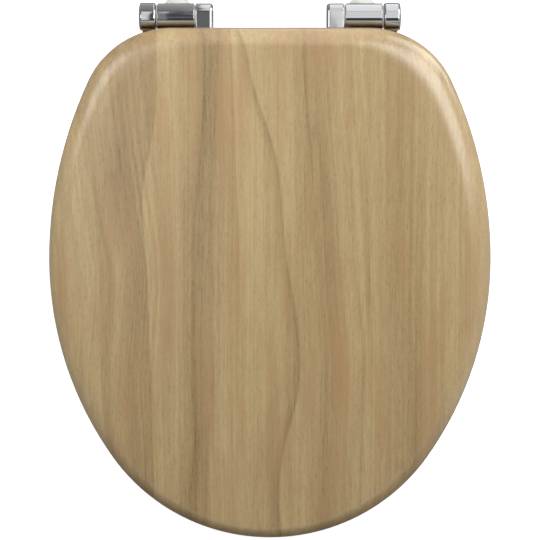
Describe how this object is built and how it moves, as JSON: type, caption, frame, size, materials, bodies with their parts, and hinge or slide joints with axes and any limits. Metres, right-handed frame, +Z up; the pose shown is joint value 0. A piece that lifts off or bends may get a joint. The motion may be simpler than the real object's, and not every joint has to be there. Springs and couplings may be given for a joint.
{
  "type": "toilet seat",
  "caption": "Oval wood-decor toilet seat with lid and ring on soft-close barrel hinges, bolted through the pan.",
  "frame": {"origin": "midpoint between the two fixing studs, on the plane of the pan's top face under the gaskets", "axes": "+X to the right seen from the front, +Y to the rear where the hinges are, +Z up; seat closed"},
  "size_m": [0.367, 0.4507, 0.112],
  "materials": {
    "wood_decor": "satin foil",
    "chrome": "polished",
    "bumper": "matt",
    "screw_steel": "zinc plated",
    "damper_plastic": "moulded",
    "seal_rubber": "moulded",
    "pin_steel": "ground",
    "spacer_plastic": "moulded",
    "gasket_rubber": "moulded",
    "stud_steel": "zinc plated",
    "clamp_plastic": "moulded"
  },
  "bodies": {
    "base": {"clamp_washer_left": "clamp_plastic", "clamp_washer_right": "clamp_plastic", "cone_bush_left": "gasket_rubber", "cone_bush_right": "gasket_rubber", "damper_cap_left": "damper_plastic", "damper_cap_right": "damper_plastic", "damper_housing_left": "damper_plastic", "damper_housing_right": "damper_plastic", "damper_seal_left": "seal_rubber", "damper_seal_right": "seal_rubber", "fixing_stud_left": "stud_steel", "fixing_stud_right": "stud_steel", "foot_gasket_left": "gasket_rubber", "foot_gasket_right": "gasket_rubber", "hinge_post_left": "chrome", "hinge_post_right": "chrome", "pivot_pin_left": "pin_steel", "pivot_pin_right": "pin_steel", "spacer_inner_left": "spacer_plastic", "spacer_inner_right": "spacer_plastic", "spacer_outer_left": "spacer_plastic", "spacer_outer_right": "spacer_plastic", "wing_nut_left": "clamp_plastic", "wing_nut_right": "clamp_plastic"},
    "ring_body": {"damper_rotor_right": "damper_plastic", "ring_bumper_front_left": "bumper", "ring_bumper_front_right": "bumper", "ring_bumper_rear_left": "bumper", "ring_bumper_rear_right": "bumper", "ring_leaf_left": "chrome", "ring_leaf_right": "chrome", "ring_leaf_screws_left": "screw_steel", "ring_leaf_screws_right": "screw_steel", "seat_ring": "wood_decor"},
    "lid_body": {"damper_rotor_left": "damper_plastic", "lid": "wood_decor", "lid_bumper_left": "bumper", "lid_bumper_right": "bumper", "lid_leaf_left": "chrome", "lid_leaf_right": "chrome", "lid_leaf_screws_left": "screw_steel", "lid_leaf_screws_right": "screw_steel"}
  },
  "joints": [
    {"name": "ring_hinge", "type": "hinge", "parent": "base", "child": "ring_body", "pos_m": [0, 0.0025, 0.0235], "axis": [-1, 0, 0], "range_deg": [0, 95]},
    {"name": "lid_hinge", "type": "hinge", "parent": "ring_body", "child": "lid_body", "pos_m": [0, 0.0025, 0.0235], "axis": [-1, 0, 0], "range_deg": [0, 95]}
  ]
}
